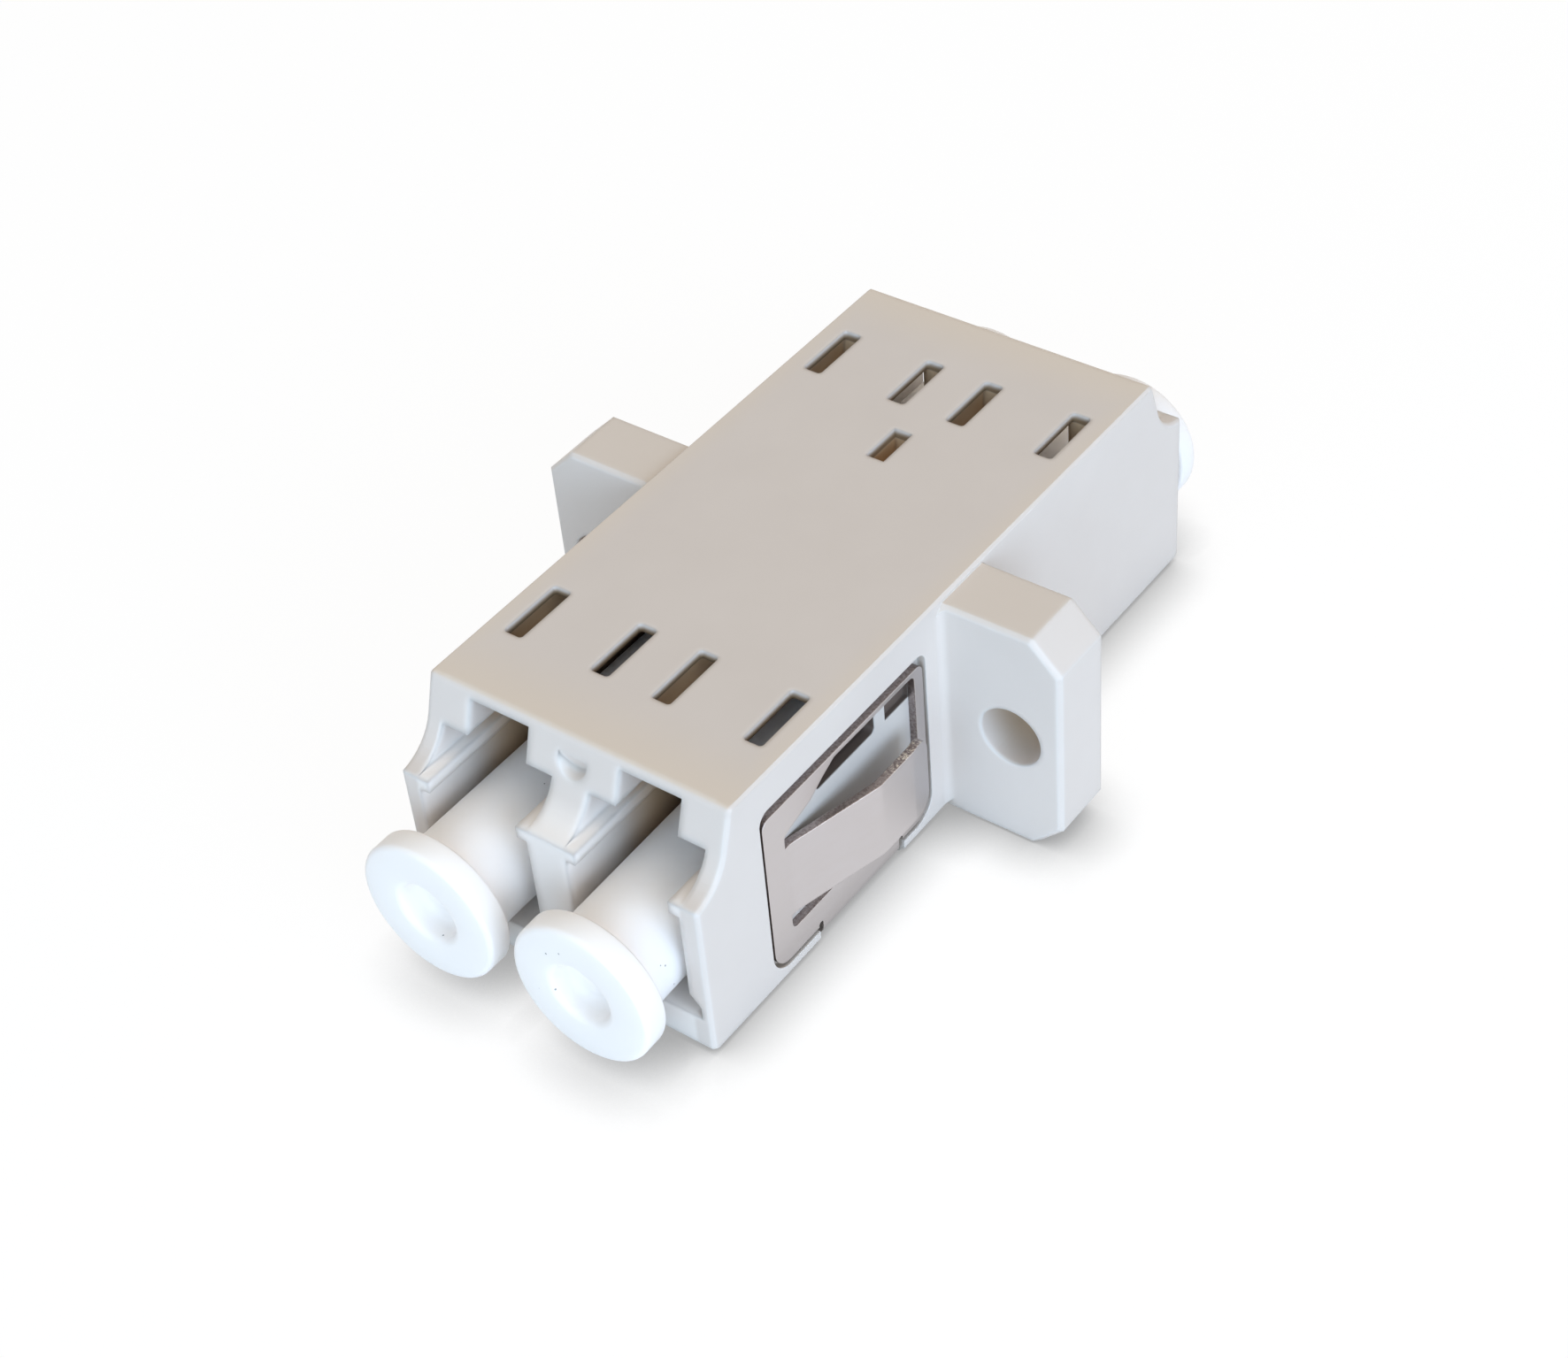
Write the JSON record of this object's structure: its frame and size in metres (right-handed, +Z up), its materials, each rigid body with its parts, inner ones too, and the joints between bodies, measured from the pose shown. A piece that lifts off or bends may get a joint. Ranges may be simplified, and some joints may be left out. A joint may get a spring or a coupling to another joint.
{
  "type": "lc fibre adapter",
  "caption": "Panel-mount duplex fibre adapter: a ledged body with plug ports at both ends, a screw flange, a folded steel panel clip, ceramic sleeves and pull-off dust caps.",
  "frame": {"origin": "middle of the footprint on the flat underside of the body", "axes": "+X across the two ports to the right as the front is looked at, +Y along the fibres to the rear, +Z up"},
  "size_m": [0.0218, 0.034, 0.0096],
  "materials": {
    "body_plastic": "light warm grey moulded plastic, fine satin texture",
    "sleeve_ceramic": "polished white ceramic",
    "clip_steel": "rolled stainless sheet with sheared edges",
    "cap_plastic": "soft white plastic, slightly waxy"
  },
  "bodies": {
    "adapter": {"housing": "body_plastic", "sleeve_retainer": "body_plastic", "split_sleeve_left": "sleeve_ceramic", "split_sleeve_right": "sleeve_ceramic", "panel_clip": "clip_steel"},
    "front_left_cap": {"dust_cap_front_left": "cap_plastic"},
    "front_right_cap": {"dust_cap_front_right": "cap_plastic"},
    "rear_left_cap": {"dust_cap_rear_left": "cap_plastic"},
    "rear_right_cap": {"dust_cap_rear_right": "cap_plastic"}
  },
  "joints": [
    {"name": "front_left_cap_pull", "type": "slide", "parent": "adapter", "child": "front_left_cap", "axis": [0, -1, 0], "range_m": [0, 0.014]},
    {"name": "front_right_cap_pull", "type": "slide", "parent": "adapter", "child": "front_right_cap", "axis": [0, -1, 0], "range_m": [0, 0.014]},
    {"name": "rear_left_cap_pull", "type": "slide", "parent": "adapter", "child": "rear_left_cap", "axis": [0, 1, 0], "range_m": [0, 0.014]},
    {"name": "rear_right_cap_pull", "type": "slide", "parent": "adapter", "child": "rear_right_cap", "axis": [0, 1, 0], "range_m": [0, 0.014]}
  ]
}
